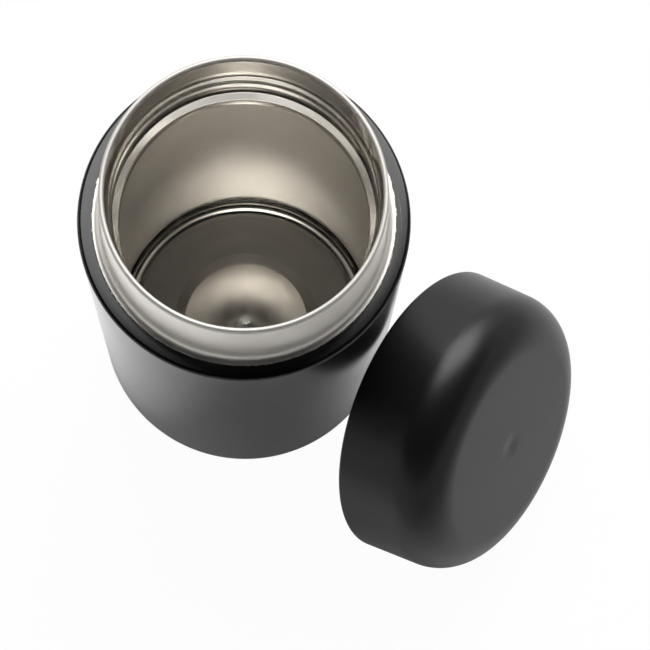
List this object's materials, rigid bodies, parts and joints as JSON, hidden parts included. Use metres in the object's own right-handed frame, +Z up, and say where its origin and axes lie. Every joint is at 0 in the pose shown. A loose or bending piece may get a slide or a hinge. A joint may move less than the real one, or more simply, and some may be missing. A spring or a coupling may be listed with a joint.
{
  "type": "insulated tumbler",
  "caption": "Double-walled vacuum tumbler with a black body, bare steel collar and a screw-in lid taken off and leaning beside it.",
  "frame": {"origin": "centre of the vessel's base, on the surface it stands on", "axes": "+Z up along the vessel's axis; the lid leans on the vessel's side towards +X and a little -Y, and the picture was taken from the -Y side, high up"},
  "size_m": [0.1322, 0.1068, 0.1308],
  "materials": {
    "coated_steel": "satin",
    "collar_steel": "satin",
    "liner_steel": "satin",
    "floor_steel": "satin",
    "foil": "polished",
    "plain_steel": "satin",
    "getter": "matte",
    "solder_glass": "satin",
    "lid_plastic": "matte",
    "plug_plastic": "matte",
    "foam": "matte",
    "silicone": "matte"
  },
  "bodies": {
    "vessel": {"outer_shell": "coated_steel", "neck_collar": "collar_steel", "liner_wall": "liner_steel", "liner_floor": "floor_steel", "radiation_foil": "foil", "base_pan": "plain_steel", "getter_tablet": "getter", "getter_clip": "plain_steel", "vacuum_seal": "solder_glass", "base_cover": "coated_steel"},
    "lid_seal": {"lid_gasket": "silicone"},
    "lid": {"lid_cover": "lid_plastic", "lid_plug": "plug_plastic", "lid_foam": "foam"}
  },
  "joints": [
    {"name": "lid_lift", "type": "slide", "parent": "vessel", "child": "lid_seal", "axis": [0, 0, 1], "range_m": [0, 0.15]},
    {"name": "lid_turn", "type": "hinge", "parent": "lid_seal", "child": "lid", "pos_m": [0.0523, -0.02433, 0.03561], "axis": [0.8348, -0.3373, 0.4352], "range_deg": [0, 450]}
  ]
}
